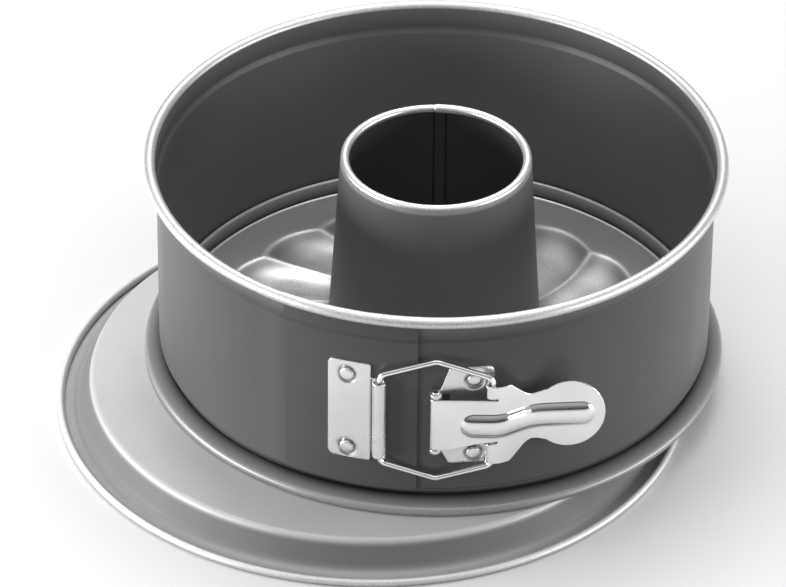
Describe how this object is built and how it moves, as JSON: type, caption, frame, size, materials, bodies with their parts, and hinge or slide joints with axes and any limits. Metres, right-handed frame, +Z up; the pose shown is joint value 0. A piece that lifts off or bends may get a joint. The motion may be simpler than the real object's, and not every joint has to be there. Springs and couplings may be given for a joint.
{
  "type": "springform pan",
  "caption": "Round springform cake pan: latched spring ring, lobed tube base inside and a flat leak-proof base underneath.",
  "frame": {"origin": "at table level, in the middle of the set's footprint; the spring ring's axis stands at x 14.3 mm, y 11.3 mm", "axes": "+Z up; the latch is on the -Y side"},
  "size_m": [0.2201, 0.2143, 0.0867],
  "materials": {
    "dark_coating": "satin non-stick coating with a fine metallic fleck",
    "grey_coating": "satin non-stick coating with a fine metallic fleck",
    "bright_steel": "polished nickel plate"
  },
  "bodies": {
    "flat_base": {"flat_base": "grey_coating"},
    "tube_base": {"tube_base_plate": "dark_coating", "centre_tube": "dark_coating"},
    "ring_right": {"band_right": "dark_coating", "right_bracket": "bright_steel", "right_rivets": "bright_steel", "pivot_pin": "bright_steel"},
    "ring_left": {"band_left": "dark_coating", "left_bracket": "bright_steel", "left_rivets": "bright_steel"},
    "bail": {"bail": "bright_steel"},
    "lever": {"lever": "bright_steel"}
  },
  "joints": [
    {"name": "tube_base_lift", "type": "slide", "parent": "flat_base", "child": "tube_base", "axis": [0, 0, 1], "range_m": [0, 0.1]},
    {"name": "ring_lift", "type": "slide", "parent": "tube_base", "child": "ring_right", "axis": [0, 0, 1], "range_m": [0, 0.1]},
    {"name": "ring_spring", "type": "hinge", "parent": "ring_right", "child": "ring_left", "pos_m": [0.0143, 0.1071, 0.04686], "axis": [0, 0, -1], "range_deg": [0, 0.85]},
    {"name": "lever_swing", "type": "hinge", "parent": "ring_right", "child": "lever", "pos_m": [0.01445, -0.08195, 0.04686], "axis": [0, 0, -1], "range_deg": [0, 60]},
    {"name": "bail_swing", "type": "hinge", "parent": "ring_left", "child": "bail", "pos_m": [-0.00325, -0.081, 0.04736], "axis": [0, 0, -1], "range_deg": [0, 28.2]}
  ],
  "couplings": [
    {"joint": "ring_spring", "follows": "lever_swing", "ratio": 0.014},
    {"joint": "bail_swing", "follows": "lever_swing", "ratio": 0.47}
  ]
}
